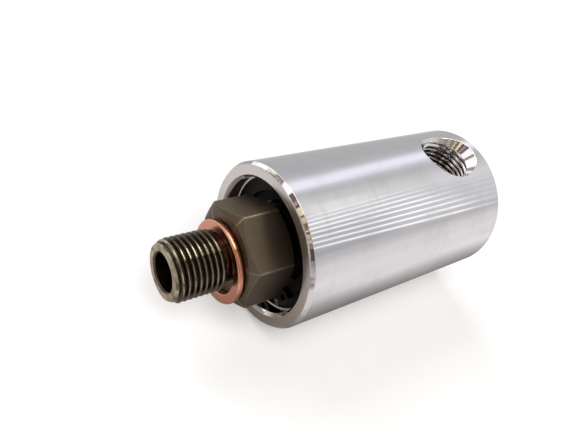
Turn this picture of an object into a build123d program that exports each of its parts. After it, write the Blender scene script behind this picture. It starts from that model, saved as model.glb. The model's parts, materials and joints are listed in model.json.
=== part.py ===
from build123d import *
from math import atan, cos, degrees, radians, sin, tan
import os

# Hydraulic rotary union: a threaded rotor turning on two ball bearings in a turned housing.
# The origin is where the port's axis crosses the rotor's axis. The rotor turns about X, its stud
# points to -X, and the side port opens upwards, to +Z. All sizes are in millimetres.

# Pipe thread of the stud and of the port, kept plain at its outer diameter
thread_radius = 9.728 / 2
passage_radius = 6.0 / 2

# Housing
housing_length = 46.0
housing_radius = 27.5 / 2
front_break_length = 0.66
front_break_depth = 0.45
rear_break = 0.5
mouth_radius = 22.4 / 2
mouth_length = 2.7
mouth_break_length = 0.67
mouth_break_depth = 0.49
groove_shoulder = 0.3
throat_radius = 10.8 / 2
rear_wall = 3.0

# Side port
port_distance = 37.8  # from the housing's front face to the port's axis
port_sink_radius = 12.2 / 2

# Rotor
stud_length = 10.2
tip_break_length = 0.62
tip_break_depth = 0.40
undercut_length = 2.4
runout_length = 0.6
undercut_radius = 7.8 / 2
hexagon_across_flats = 15.0
hexagon_length = 8.0
hexagon_reach = 6.2  # how far the hexagon stands out of the housing
hexagon_face_radius = 14.0 / 2
hexagon_chamfer_angle = 30
collar_radius = 12.4 / 2
shaft_radius = 10.0 / 2
shaft_tail = 2.5
small_break = 0.3

# Copper washer, hanging loose in the undercut
washer_bore_radius = 10.2 / 2
washer_radius = 13.5 / 2
washer_thickness = 1.0
washer_edge = 0.14
washer_gap = 0.2
washer_play = 0.03

# Ball bearings, and the sleeves that space them
bearing_radius = 22.0 / 2
bearing_width = 6.0
pitch_radius = 8.0
ball_radius = 3.5 / 2
ball_count = 8
ball_play = 0.06
inner_land_radius = 6.9
outer_land_radius = 9.1
seal_seat_radius = 9.9
seal_inset = 0.15
seal_thickness = 0.5
lip_play = 0.07
cage_inner_radius = 7.4
cage_outer_radius = 8.6
cage_clearance = 0.3
pocket_play = 0.1
cage_tip_share = 0.45
spacer_length = 4.0
spacer_wall = 1.4

# Circlips
circlip_thickness = 1.0
circlip_groove_width = 1.1
circlip_gap_half_angle = 9
housing_groove_radius = 23.0 / 2
housing_circlip_inner = 9.1
housing_circlip_shift = 0.45
housing_circlip_gap_angle = -120
housing_lug_radius = 1.5
housing_lug_place = 9.4
rotor_groove_radius = 9.4 / 2
rotor_circlip_outer = 6.5
rotor_circlip_shift = 0.3
rotor_lug_radius = 1.15
rotor_lug_place = 6.6
lug_hole_radius = 0.55

# Seal set behind the rear bearing
gland_flange_length = 3.7
gland_recess_radius = 9.2
gland_recess_length = 2.0
gland_spigot_length = 0.8
pocket_radius = 16.0 / 2
pocket_length = 5.0
backup_length = 1.2
shaft_seal_length = 2.6
shaft_seal_radius = 6.3
shaft_seal_lip = 1.2
running_play = 0.05

# Places along the axis that follow from those sizes
housing_front = -port_distance
housing_rear = housing_front + housing_length
shoulder = housing_front - hexagon_reach
stud_tip = shoulder - stud_length
thread_end = shoulder - undercut_length
groove_start = housing_front + mouth_length + groove_shoulder
front_bearing_start = groove_start + circlip_groove_width
spacer_start = front_bearing_start + bearing_width
rear_bearing_start = spacer_start + spacer_length
gland_start = rear_bearing_start + bearing_width
pocket_start = gland_start + gland_flange_length
backup_start = pocket_start + gland_spigot_length
shaft_seal_start = backup_start + backup_length
throat_start = pocket_start + pocket_length
shaft_end = throat_start + shaft_tail
chamber_end = housing_rear - rear_wall

pieces = {}


# Housing: turned outside, then bored from the front in steps that get smaller towards the back
with BuildPart() as housing:
    with BuildSketch(Plane.XY):
        with BuildLine():
            Polyline(
                (housing_front, 0),
                (housing_front, housing_radius - front_break_depth),
                (housing_front + front_break_length, housing_radius),
                (housing_rear - rear_break, housing_radius),
                (housing_rear, housing_radius - rear_break),
                (housing_rear, 0),
                close=True,
            )
        make_face()
    revolve(axis=Axis.X)
    for bore_radius, bore_end in (
        (mouth_radius, housing_front + mouth_length),
        (bearing_radius, pocket_start),
        (pocket_radius, throat_start),
        (throat_radius, chamber_end),
    ):
        with BuildSketch(Plane.YZ.offset(housing_front)):
            Circle(bore_radius)
        extrude(amount=bore_end - housing_front, mode=Mode.SUBTRACT)
    # The mouth's conical lead-in, and the groove of the circlip
    with BuildSketch(Plane.YZ.offset(housing_front)):
        Circle(mouth_radius + mouth_break_depth)
    extrude(
        amount=mouth_break_length,
        taper=degrees(atan(mouth_break_depth / mouth_break_length)),
        mode=Mode.SUBTRACT,
    )
    with BuildSketch(Plane.YZ.offset(groove_start)):
        Circle(housing_groove_radius)
    extrude(amount=circlip_groove_width, mode=Mode.SUBTRACT)
    # The port: a tapped hole from above into the chamber, with a 90 degree countersink
    with BuildSketch(Plane.XY):
        Circle(thread_radius)
    extrude(amount=housing_radius, mode=Mode.SUBTRACT)
    with BuildSketch(Plane.XY.offset(housing_radius)):
        Circle(port_sink_radius)
    extrude(amount=thread_radius - port_sink_radius, taper=45, mode=Mode.SUBTRACT)
pieces["housing"] = housing


# Rotor: stud, undercut, hexagon, collar, shaft and tail, bored through
hexagon_corner_radius = hexagon_across_flats / 2 / cos(radians(30))
chamfer_drop = (hexagon_corner_radius - hexagon_face_radius) * tan(radians(hexagon_chamfer_angle))
with BuildPart() as rotor:
    with BuildSketch(Plane.YZ.offset(shoulder)):
        RegularPolygon(hexagon_across_flats / 2, 6, major_radius=False, rotation=90)
    extrude(amount=hexagon_length)
    with BuildSketch(Plane.XY):
        with BuildLine():
            Polyline(
                (shoulder, 0),
                (shoulder, hexagon_face_radius),
                (shoulder + chamfer_drop, hexagon_corner_radius),
                (shoulder + hexagon_length - chamfer_drop, hexagon_corner_radius),
                (shoulder + hexagon_length, hexagon_face_radius),
                (shoulder + hexagon_length, 0),
                close=True,
            )
        make_face()
    revolve(axis=Axis.X, mode=Mode.INTERSECT)
    with BuildSketch(Plane.XY):
        with BuildLine():
            Polyline(
                (stud_tip, 0),
                (stud_tip, thread_radius - tip_break_depth),
                (stud_tip + tip_break_length, thread_radius),
                (thread_end, thread_radius),
                (thread_end + runout_length, undercut_radius),
                (shoulder, undercut_radius),
                (shoulder, collar_radius),
                (front_bearing_start, collar_radius),
                (front_bearing_start, shaft_radius),
                (gland_start, shaft_radius),
                (gland_start, rotor_groove_radius),
                (gland_start + circlip_groove_width, rotor_groove_radius),
                (gland_start + circlip_groove_width, shaft_radius),
                (shaft_end - small_break, shaft_radius),
                (shaft_end, shaft_radius - small_break),
                (shaft_end, 0),
                close=True,
            )
        make_face()
    revolve(axis=Axis.X)
    with BuildSketch(Plane.YZ.offset(stud_tip)):
        Circle(passage_radius)
    extrude(amount=shaft_end - stud_tip, mode=Mode.SUBTRACT)
pieces["rotor"] = rotor


# Washer: its hole rests on the top of the undercut, so it hangs below the rotor's axis
washer_drop = washer_bore_radius - undercut_radius - washer_play
with BuildPart() as copper_washer:
    with BuildSketch(Plane.YZ.offset(shoulder - washer_gap - washer_thickness)):
        with Locations((0, -washer_drop)):
            Circle(washer_radius)
            Circle(washer_bore_radius, mode=Mode.SUBTRACT)
    extrude(amount=washer_thickness)
    chamfer(copper_washer.edges().filter_by(GeomType.CIRCLE), washer_edge)
pieces["copper_washer"] = copper_washer


# Ball bearings: both are the same, with rubber seals on both sides
for bearing, start in (("front_bearing", front_bearing_start), ("rear_bearing", rear_bearing_start)):
    middle = start + bearing_width / 2
    with BuildPart() as outer_ring:
        with BuildSketch(Plane.YZ.offset(start)):
            Circle(bearing_radius)
            Circle(outer_land_radius, mode=Mode.SUBTRACT)
        extrude(amount=bearing_width)
        for seat_start in (start, start + bearing_width - seal_inset - seal_thickness):
            with BuildSketch(Plane.YZ.offset(seat_start)):
                Circle(seal_seat_radius)
            extrude(amount=seal_inset + seal_thickness, mode=Mode.SUBTRACT)
        with BuildSketch(Plane.XY):
            with Locations((middle, pitch_radius)):
                Circle(ball_radius + ball_play)
        revolve(axis=Axis.X, mode=Mode.SUBTRACT)
    pieces[bearing + "_outer_ring"] = outer_ring

    with BuildPart() as inner_ring:
        with BuildSketch(Plane.YZ.offset(start)):
            Circle(inner_land_radius)
            Circle(shaft_radius, mode=Mode.SUBTRACT)
        extrude(amount=bearing_width)
        with BuildSketch(Plane.XY):
            with Locations((middle, pitch_radius)):
                Circle(ball_radius + ball_play)
        revolve(axis=Axis.X, mode=Mode.SUBTRACT)
    pieces[bearing + "_inner_ring"] = inner_ring

    with BuildPart() as balls:
        with Locations(Plane.YZ.offset(middle)):
            with PolarLocations(pitch_radius, ball_count):
                Sphere(ball_radius)
    pieces[bearing + "_balls"] = balls

    # The cage is a crown: a ring with pockets that the balls snap into from the back
    cage_start = start + seal_inset + seal_thickness + cage_clearance
    with BuildPart() as cage:
        with BuildSketch(Plane.YZ.offset(cage_start)):
            Circle(cage_outer_radius)
            Circle(cage_inner_radius, mode=Mode.SUBTRACT)
        extrude(amount=middle + cage_tip_share * ball_radius - cage_start)
        with Locations(Plane.YZ.offset(middle)):
            with PolarLocations(pitch_radius, ball_count):
                Sphere(ball_radius + pocket_play, mode=Mode.SUBTRACT)
    pieces[bearing + "_cage"] = cage

    for side, seal_start in (
        ("front", start + seal_inset),
        ("rear", start + bearing_width - seal_inset - seal_thickness),
    ):
        with BuildPart() as bearing_seal:
            with BuildSketch(Plane.YZ.offset(seal_start)):
                Circle(seal_seat_radius)
                Circle(inner_land_radius + lip_play, mode=Mode.SUBTRACT)
            extrude(amount=seal_thickness)
        pieces[f"{bearing}_{side}_seal"] = bearing_seal


# Spacing sleeves between the two bearings
with BuildPart() as outer_spacer:
    with BuildSketch(Plane.YZ.offset(spacer_start)):
        Circle(bearing_radius)
        Circle(bearing_radius - spacer_wall, mode=Mode.SUBTRACT)
    extrude(amount=spacer_length)
pieces["outer_spacer"] = outer_spacer

with BuildPart() as inner_spacer:
    with BuildSketch(Plane.YZ.offset(spacer_start)):
        Circle(shaft_radius + spacer_wall)
        Circle(shaft_radius, mode=Mode.SUBTRACT)
    extrude(amount=spacer_length)
pieces["inner_spacer"] = inner_spacer


# Circlips: flat spring rings that get narrower towards their two drilled lugs
def gap_outline(reach):
    """Corners of the wedge that opens a circlip, around local +X."""
    half_width = reach * tan(radians(circlip_gap_half_angle))
    return (0, 0), (reach, half_width), (reach, -half_width)


housing_lug_angle = circlip_gap_half_angle + degrees(atan(housing_lug_radius / housing_lug_place))
with BuildPart() as housing_circlip:
    gap_plane = Plane(
        origin=(front_bearing_start - circlip_thickness, 0, 0),
        x_dir=(0, cos(radians(housing_circlip_gap_angle)), sin(radians(housing_circlip_gap_angle))),
        z_dir=(1, 0, 0),
    )
    with BuildSketch(gap_plane):
        Circle(housing_groove_radius)
        with Locations((housing_circlip_shift, 0)):
            Circle(housing_circlip_inner, mode=Mode.SUBTRACT)
        with PolarLocations(housing_lug_place, 2, -housing_lug_angle, 4 * housing_lug_angle):
            Circle(housing_lug_radius)
        with PolarLocations(housing_lug_place, 2, -housing_lug_angle, 4 * housing_lug_angle):
            Circle(lug_hole_radius, mode=Mode.SUBTRACT)
        with BuildLine():
            Polyline(*gap_outline(bearing_radius + bearing_width), close=True)
        make_face(mode=Mode.SUBTRACT)
    extrude(amount=circlip_thickness)
pieces["housing_circlip"] = housing_circlip

rotor_lug_angle = circlip_gap_half_angle + degrees(atan(rotor_lug_radius / rotor_lug_place))
with BuildPart() as rotor_circlip:
    with BuildSketch(Plane.YZ.offset(gland_start)):
        with Locations((-rotor_circlip_shift, 0)):
            Circle(rotor_circlip_outer)
        with PolarLocations(rotor_lug_place, 2, -rotor_lug_angle, 4 * rotor_lug_angle):
            Circle(rotor_lug_radius)
        with PolarLocations(rotor_lug_place, 2, -rotor_lug_angle, 4 * rotor_lug_angle):
            Circle(lug_hole_radius, mode=Mode.SUBTRACT)
        Circle(rotor_groove_radius, mode=Mode.SUBTRACT)
        with BuildLine():
            Polyline(*gap_outline(bearing_radius), close=True)
        make_face(mode=Mode.SUBTRACT)
    extrude(amount=circlip_thickness)
pieces["rotor_circlip"] = rotor_circlip


# Seal set: the gland closes the pocket and is clamped by the rear bearing's outer ring
with BuildPart() as seal_gland:
    with BuildSketch(Plane.YZ.offset(gland_start)):
        Circle(bearing_radius)
    extrude(amount=gland_flange_length)
    with BuildSketch(Plane.YZ.offset(pocket_start)):
        Circle(pocket_radius)
    extrude(amount=gland_spigot_length)
    with BuildSketch(Plane.YZ.offset(gland_start)):
        Circle(gland_recess_radius)
    extrude(amount=gland_recess_length, mode=Mode.SUBTRACT)
    with BuildSketch(Plane.YZ.offset(gland_start)):
        Circle(throat_radius)
    extrude(amount=gland_flange_length + gland_spigot_length, mode=Mode.SUBTRACT)
pieces["seal_gland"] = seal_gland

with BuildPart() as backup_ring:
    with BuildSketch(Plane.YZ.offset(backup_start)):
        Circle(pocket_radius)
        Circle(shaft_radius + running_play, mode=Mode.SUBTRACT)
    extrude(amount=backup_length)
pieces["backup_ring"] = backup_ring

with BuildPart() as shaft_seal:
    with BuildSketch(Plane.XY):
        with BuildLine():
            Polyline(
                (shaft_seal_start, shaft_radius + running_play),
                (shaft_seal_start, shaft_seal_radius),
                (shaft_seal_start + shaft_seal_length, shaft_seal_radius),
                (shaft_seal_start + shaft_seal_length, throat_radius),
                (shaft_seal_start + shaft_seal_lip, shaft_radius + running_play),
                close=True,
            )
        make_face()
    revolve(axis=Axis.X)
pieces["shaft_seal"] = shaft_seal

energiser_section = (pocket_radius - shaft_seal_radius) / 2
with BuildPart() as energiser_ring:
    with BuildSketch(Plane.XY):
        with Locations((shaft_seal_start + shaft_seal_length / 2, shaft_seal_radius + energiser_section)):
            Circle(energiser_section)
    revolve(axis=Axis.X)
pieces["energiser_ring"] = energiser_ring


os.makedirs("parts", exist_ok=True)
for name, piece in pieces.items():
    piece.part.label = name
    export_step(piece.part, f"parts/{name}.step")
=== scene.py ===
import json

import bmesh
import bpy
import numpy as np
from mathutils import Matrix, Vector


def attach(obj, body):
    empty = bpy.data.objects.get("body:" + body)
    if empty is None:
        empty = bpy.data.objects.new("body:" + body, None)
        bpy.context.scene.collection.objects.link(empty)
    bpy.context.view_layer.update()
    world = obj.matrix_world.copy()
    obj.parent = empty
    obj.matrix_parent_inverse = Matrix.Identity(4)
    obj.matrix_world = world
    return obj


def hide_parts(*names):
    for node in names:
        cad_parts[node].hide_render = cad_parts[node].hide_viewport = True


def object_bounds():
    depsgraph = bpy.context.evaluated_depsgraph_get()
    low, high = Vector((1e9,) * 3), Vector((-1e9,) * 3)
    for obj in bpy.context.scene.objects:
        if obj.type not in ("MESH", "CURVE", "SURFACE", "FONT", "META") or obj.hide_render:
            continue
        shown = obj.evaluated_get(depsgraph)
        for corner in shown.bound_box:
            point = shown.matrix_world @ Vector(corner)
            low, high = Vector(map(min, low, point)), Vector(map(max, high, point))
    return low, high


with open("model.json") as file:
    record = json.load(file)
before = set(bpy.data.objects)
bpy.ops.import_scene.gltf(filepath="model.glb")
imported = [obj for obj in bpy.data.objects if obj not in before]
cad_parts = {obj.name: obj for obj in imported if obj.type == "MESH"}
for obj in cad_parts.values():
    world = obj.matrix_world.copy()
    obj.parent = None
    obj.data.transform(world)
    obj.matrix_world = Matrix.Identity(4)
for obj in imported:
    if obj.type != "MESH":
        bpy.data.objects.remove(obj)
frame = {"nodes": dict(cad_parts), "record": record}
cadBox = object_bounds()
print("frame: loaded", len(frame["nodes"]), "nodes")

mm = 0.001


def newObject(name, data):
    thing = bpy.data.objects.new(name, data)
    bpy.context.scene.collection.objects.link(thing)
    return thing


# A patch is a grid of rows x columns x 5: a point in millimetres, how worn and how dull it is.
# Neighbouring points are joined by quads. A patch may also be a pair (points, triangles).
def gridQuads(rows, columns, first):
    index = first + np.arange(rows * columns).reshape(rows, columns)
    corners = (index[:-1, :-1], index[:-1, 1:], index[1:, 1:], index[1:, :-1])
    return np.stack(corners, -1).reshape(-1, 4)


# Puts all patches into one mesh, joins the points that coincide and turns every face outwards.
def pieceFromPatches(name, patches, sharpDegrees):
    joinWithin = 4e-7
    points, faces, first = [], [], 0
    for patch in patches:
        if isinstance(patch, tuple):
            points.append(patch[0].reshape(-1, 5))
            faces += (patch[1] + first).tolist()
        else:
            points.append(patch.reshape(-1, 5))
            faces += gridQuads(patch.shape[0], patch.shape[1], first).tolist()
        first += len(points[-1])
    points = np.concatenate(points)
    mesh = bpy.data.meshes.new(name)
    mesh.from_pydata(points[:, :3] * mm, [], faces)
    for column, label in ((3, "worn"), (4, "dull")):
        layer = mesh.attributes.new(label, "FLOAT", "POINT")
        layer.data.foreach_set("value", points[:, column].astype(np.float32))
    work = bmesh.new()
    work.from_mesh(mesh)
    bmesh.ops.remove_doubles(work, verts=work.verts, dist=joinWithin)
    bmesh.ops.recalc_face_normals(work, faces=work.faces)
    openEdges = sum(1 for edge in work.edges if not edge.is_manifold)
    triangles = sum(len(face.verts) - 2 for face in work.faces)
    work.to_mesh(mesh)
    work.free()
    mesh.shade_smooth()
    mesh.set_sharp_from_angle(angle=np.radians(sharpDegrees))
    print(f"{name}: {triangles} triangles, {openEdges} open edges")
    return newObject(name, mesh)


# The curve (1-t)^2 start + 2t(1-t) corner + t^2 end.
def roundCurve(start, corner, end, t):
    return (1 - t) ** 2 * start + 2 * t * (1 - t) * corner + t ** 2 * end


# The point one radius away from a corner towards its neighbour, but at most 0.45 of the way there.
def pointTowards(corner, other, radius, most=0.45):
    way = np.array(other[:2]) - corner
    length = np.linalg.norm(way)
    return corner + way / length * min(radius, length * most)


# Rounds the corners (x, r, radius) of an outline by round curves, which are worn by 4t(1-t).
def softOutline(corners, steps=4):
    outline = []
    for index, (x, r, radius) in enumerate(corners):
        if not radius or index in (0, len(corners) - 1):
            outline.append((x, r, 0))
            continue
        here = np.array((x, r))
        start, end = (pointTowards(here, corners[index + side], radius) for side in (-1, 1))
        t = np.linspace(0, 1, steps + 1)[:, None]
        outline += np.hstack((roundCurve(start, here, end, t), 4 * t * (1 - t))).tolist()
    return np.array(outline, float)


# Points at x, radius r and angle a round the rotor's axis: (x, r cos a, r sin a).
def aroundAxis(x, r, a, worn=0.0, dull=0.0):
    return np.stack(np.broadcast_arrays(x, r * np.cos(a), r * np.sin(a), worn, dull), -1)


# Carries an outline of (x, r) or (x, r, worn) points round the rotor's axis. Faces square to the
# axis are cut across and come out duller: dull = (share of the step that goes in r - 0.9) * 10, from 0
# to 1.
def turned(outline, angles):
    worn = outline[:, 2:3] if outline.shape[1] > 2 else 0.0
    step = np.abs(np.gradient(outline[:, :2], axis=0)) if len(outline) > 1 else np.ones((1, 2))
    share = step[:, 1] / np.maximum(np.hypot(step[:, 0], step[:, 1]), 1e-9)
    dull = np.clip((share - 0.9) * 10, 0, 1)[:, None]
    return aroundAxis(outline[:, :1], outline[:, 1:2], angles, worn, dull)


# Profile of a pipe thread at a phase counted in turns, from -0.5 at its smallest radius to 0.5 at its
# largest: a triangle wave w = 1 - 4 |phase| made steeper and levelled off at both ends by
# s / (1 + s^n)^(1/n) with s = 1.5 w, and scaled to fit. The higher the even number n, the flatter they are.
def threadWave(phase, n):
    steepness = 1.5
    steep = steepness * (1 - 4 * np.abs(phase - np.round(phase)))
    return 0.5 * steep / (1 + steep ** n) ** (1 / n) * (1 + steepness ** n) ** (1 / n) / steepness


# Millimetres. A break is (along the axis, across it); mouth, bore, pocket and chamber are (radius, x of
# the end); groove is (radius, front x, rear x). A zone is the part of a wall round the port, with its
# length along the axis and its columns and rows of points.
housingShape = {
    "radius": 13.75, "front": -37.8, "rear": 8.2, "rearBreak": 0.5,
    "frontBreak": (0.66, 0.45), "mouthBreak": (0.67, 0.49), "edge": 0.05,
    "rippleDepth": 0.016, "rippleReach": (0.40, 0.01),
    "mouth": (11.2, -35.1), "groove": (11.5, -34.8, -33.7), "bore": (11.0, -14.0),
    "pocket": (8.0, -9.0), "chamber": (5.4, 5.2),
    "boreFillet": 0.1, "stepFillet": 0.05, "grooveFillet": 0.06, "grooveEdge": 0.04,
    "sinkRadius": 6.1, "sinkEdge": 0.06, "rimSteps": 4,
    "chatterDepth": 0.004, "chatterLength": 0.42, "chatterFade": 0.2,
    "rootRadius": 4.864, "crestRadius": 4.283, "drillRadius": 4.33, "pitch": 0.907, "threadPhase": 0.0,
    "threadEnd": 5.9, "threadFade": 0.5, "crestLevel": 4, "rowsPerTurn": 10, "rowTurns": 16,
    "columns": 240, "innerColumns": 120, "zoneEnd": 7.4, "zoneColumns": 52, "zoneRows": 42, "skinRows": 18,
    "chamberZone": (-5.15, 5.05), "chamberZoneColumns": 44, "chamberZoneRows": 50, "chamberSkinRows": 10,
}


# The rim of the port: the 45 degree cone r = z - a, with its foot at a, meets the cylinder y^2 + z^2 = R^2 at
# r = (-2a + sqrt(4a^2 + 4(1 + s^2)(R^2 - a^2))) / (2(1 + s^2)) with s = sin u.
def rimRadius(u, radius, coneFoot):
    s2 = np.sin(u) ** 2
    root = np.sqrt(4 * coneFoot ** 2 + 4 * (1 + s2) * (radius ** 2 - coneFoot ** 2))
    return (root - 2 * coneFoot) / (2 * (1 + s2))


# Points along the four sides of a rectangle in x and in the angle round the rotor's axis,
# counter-clockwise as seen from the end of the port.
def zoneSides(low, high, halfAngle, sideColumns, sideRows):
    across = np.linspace(np.pi / 2 + halfAngle, np.pi / 2 - halfAngle, sideColumns + 1)
    along = np.linspace(high, low, sideRows + 1)
    x = np.concatenate((np.full(sideColumns, high), along[:-1], np.full(sideColumns, low), along[::-1]))
    a = np.concatenate((across[:-1], np.full(sideRows, across[-1]),
                        across[:0:-1], np.full(sideRows + 1, across[0])))
    return x, a


# Fills the skin between a closed edge and the sides of its zone on a cylinder, in x and angle:
# edge + (side - edge) w, with w = t^1.5 so that the rows lie closer near the edge.
def zoneSkin(edgeX, edgeAngle, sideX, sideAngle, radius, rows):
    w = np.linspace(0, 1, rows + 1)[:, None] ** 1.5
    return aroundAxis(edgeX + (sideX - edgeX) * w, radius, edgeAngle + (sideAngle - edgeAngle) * w)


# Joins a ring of n points to a wider ring of 2n points with three triangles for each of the n.
def ringStep(x, innerRadius, outerRadius, count):
    inner = turned(np.array(((x, innerRadius),)), np.linspace(0, 2 * np.pi, count + 1))[0]
    outer = turned(np.array(((x, outerRadius),)), np.linspace(0, 2 * np.pi, 2 * count + 1))[0]
    i = np.arange(count)
    o = count + 1 + 2 * i
    triangles = np.concatenate((np.stack((i, o, o + 1), 1), np.stack((i, o + 1, i + 1), 1),
                                np.stack((i + 1, o + 1, o + 2), 1)))
    return np.concatenate((inner, outer)), triangles


# Outlines turned round the rotor's axis, as points (x, r cos a, r sin a), with gaps for the port in the
# barrel and in the chamber. The port is points (r cos u, r sin u, z) round its own axis.
def buildHousing(s):
    radius, front, rear, edge = s["radius"], s["front"], s["rear"], s["edge"]
    chamberRadius, chamberEnd = s["chamber"]
    around = np.linspace(0, 2 * np.pi, s["columns"] + 1)
    aroundInside = np.linspace(0, 2 * np.pi, s["innerColumns"] + 1)
    zoneEnd = s["zoneEnd"]
    patches = []
    # Outside, from the seal's pocket round the mouth to the port's zone, and from there to the back
    pocketRadius, pocketEnd = s["pocket"]
    boreRadius, boreEnd = s["bore"]
    mouthRadius, mouthEnd = s["mouth"]
    grooveRadius, grooveFront, grooveRear = s["groove"]
    breakLength, breakDepth = s["frontBreak"]
    mouthLength, mouthDepth = s["mouthBreak"]
    grooveFillet, grooveEdge = s["grooveFillet"], s["grooveEdge"]
    frontOutline = softOutline((
        (pocketEnd, pocketRadius, 0), (boreEnd, pocketRadius, s["boreFillet"]), (boreEnd, boreRadius, 0),
        (grooveRear, boreRadius, grooveEdge), (grooveRear, grooveRadius, grooveFillet),
        (grooveFront, grooveRadius, grooveFillet), (grooveFront, boreRadius, grooveEdge),
        (mouthEnd, boreRadius, grooveEdge), (mouthEnd, mouthRadius, s["stepFillet"]),
        (front + mouthLength, mouthRadius, edge), (front, mouthRadius + mouthDepth, edge),
        (front, radius - breakDepth, edge), (front + breakLength, radius, edge), (-zoneEnd, radius, 0)))
    rearOutline = softOutline((
        (zoneEnd, radius, 0), (rear - s["rearBreak"], radius, edge), (rear, radius - s["rearBreak"], edge),
        (rear, radius * 0.5, 0), (rear, 0, 0)))
    frontSkin = turned(frontOutline, around)
    # The lathe tool left ripples on the front chamfer, as far as they reach along the axis from its
    # middle and inside its edge: x + depth (sin 41a + 0.7 sin(67a + 1) + 0.5 sin(97a + 2))
    wave = np.sin(41 * around) + 0.7 * np.sin(67 * around + 1) + 0.5 * np.sin(97 * around + 2)
    reachAlong, reachInside = s["rippleReach"]
    nearMiddle = np.abs(frontOutline[:, :1] - front - breakLength / 2) < reachAlong
    beyondEdge = frontOutline[:, 1:2] > radius - breakDepth - reachInside
    frontSkin[..., 0] += wave * s["rippleDepth"] * (nearMiddle & beyondEdge)
    patches += [frontSkin, turned(rearOutline, around)]
    halfAngle = np.pi * s["zoneColumns"] / s["columns"]
    besidePort = np.linspace(np.pi / 2 + halfAngle, 5 * np.pi / 2 - halfAngle,
                             s["columns"] - s["zoneColumns"] + 1)
    alongZone = np.stack((np.linspace(-zoneEnd, zoneEnd, s["zoneRows"] + 1),
                          np.full(s["zoneRows"] + 1, radius)), 1)
    patches.append(turned(alongZone, besidePort))
    # The skin round the port, its rim and countersink, and the thread below
    coneFoot = radius - s["sinkRadius"]
    sideX, sideAngle = zoneSides(-zoneEnd, zoneEnd, halfAngle, s["zoneColumns"], s["zoneRows"])
    firstCorner = np.arctan2(radius * np.cos(sideAngle[0]), sideX[0])
    u = firstCorner + np.linspace(0, 2 * np.pi, len(sideX))
    rim = rimRadius(u, radius, coneFoot)
    outer = rim + s["sinkEdge"]
    patches.append(zoneSkin(outer * np.cos(u), np.arccos(outer * np.sin(u) / radius),
                            sideX, sideAngle, radius, s["skinRows"]))
    t = np.linspace(0, 1, s["rimSteps"] + 1)[:, None]
    inner = rim - s["sinkEdge"]
    outerHeight = np.sqrt(radius ** 2 - (outer * np.sin(u)) ** 2)
    rimR = roundCurve(outer, rim, inner, t)
    rimZ = roundCurve(outerHeight, coneFoot + rim, coneFoot + inner, t)
    rimWorn = np.broadcast_to(4 * t * (1 - t), rimR.shape)
    patches.append(np.stack((rimR * np.cos(u), rimR * np.sin(u), rimZ, rimWorn, 0 * rimZ), -1))
    # Thread of the port: rows follow the helix z = pitch (k + u / 2 pi), clipped between the
    # countersink's rim and the chamber, where z^2 = chamber^2 - (r sin u)^2
    drill = s["drillRadius"]
    low = np.sqrt(chamberRadius ** 2 - (drill * np.sin(u)) ** 2)
    high = coneFoot + inner
    turns = np.arange(s["rowTurns"] * s["rowsPerTurn"]) / s["rowsPerTurn"]
    z = np.clip(s["pitch"] * (turns[:, None] + u / (2 * np.pi)), low, high)
    phase = z / s["pitch"] - u / (2 * np.pi) + s["threadPhase"]
    middle = (s["rootRadius"] + s["crestRadius"]) / 2
    thread = middle + (s["rootRadius"] - s["crestRadius"]) * threadWave(phase, s["crestLevel"])
    fade = np.clip((z - s["threadEnd"]) / s["threadFade"] + 1, 0, 1)
    # Chatter of the countersink: r = z - foot + depth sin(2 pi z / length + 2 sin 3u + sin 7u)
    along = 2 * np.pi * z / s["chatterLength"]
    chatter = s["chatterDepth"] * np.sin(along + 2 * np.sin(3 * u) + np.sin(7 * u))
    cone = z - coneFoot + chatter * np.clip((high - z) / s["chatterFade"], 0, 1)
    hole = np.maximum(drill + (thread - drill) * fade, cone)
    patches.append(np.stack((hole * np.cos(u), hole * np.sin(u), z, 0 * z, 0 * z), -1))
    # The chamber's wall round the lower end of the port, and the rest of the chamber
    lowX, highX = s["chamberZone"]
    chamberHalf = np.pi * s["chamberZoneColumns"] / s["innerColumns"]
    sideX, sideAngle = zoneSides(lowX, highX, chamberHalf, s["chamberZoneColumns"], s["chamberZoneRows"])
    patches.append(zoneSkin(drill * np.cos(u), np.arccos(drill * np.sin(u) / chamberRadius),
                            sideX, sideAngle, chamberRadius, s["chamberSkinRows"]))
    besideChamber = np.linspace(np.pi / 2 + chamberHalf, 5 * np.pi / 2 - chamberHalf,
                                s["innerColumns"] - s["chamberZoneColumns"] + 1)
    alongChamber = np.stack((np.linspace(lowX, highX, s["chamberZoneRows"] + 1),
                             np.full(s["chamberZoneRows"] + 1, chamberRadius)), 1)
    patches.append(turned(alongChamber, besideChamber))
    throatOutline = np.array(((lowX, chamberRadius), (pocketEnd, chamberRadius)))
    endOutline = np.array(((highX, chamberRadius), (chamberEnd, chamberRadius),
                           (chamberEnd, chamberRadius / 2), (chamberEnd, 0)))
    patches += [turned(throatOutline, aroundInside), turned(endOutline, aroundInside)]
    patches.append(ringStep(pocketEnd, chamberRadius, pocketRadius, s["innerColumns"]))
    return pieceFromPatches("housing_body", patches, sharpDegrees=28)


housing = buildHousing(housingShape)


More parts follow.
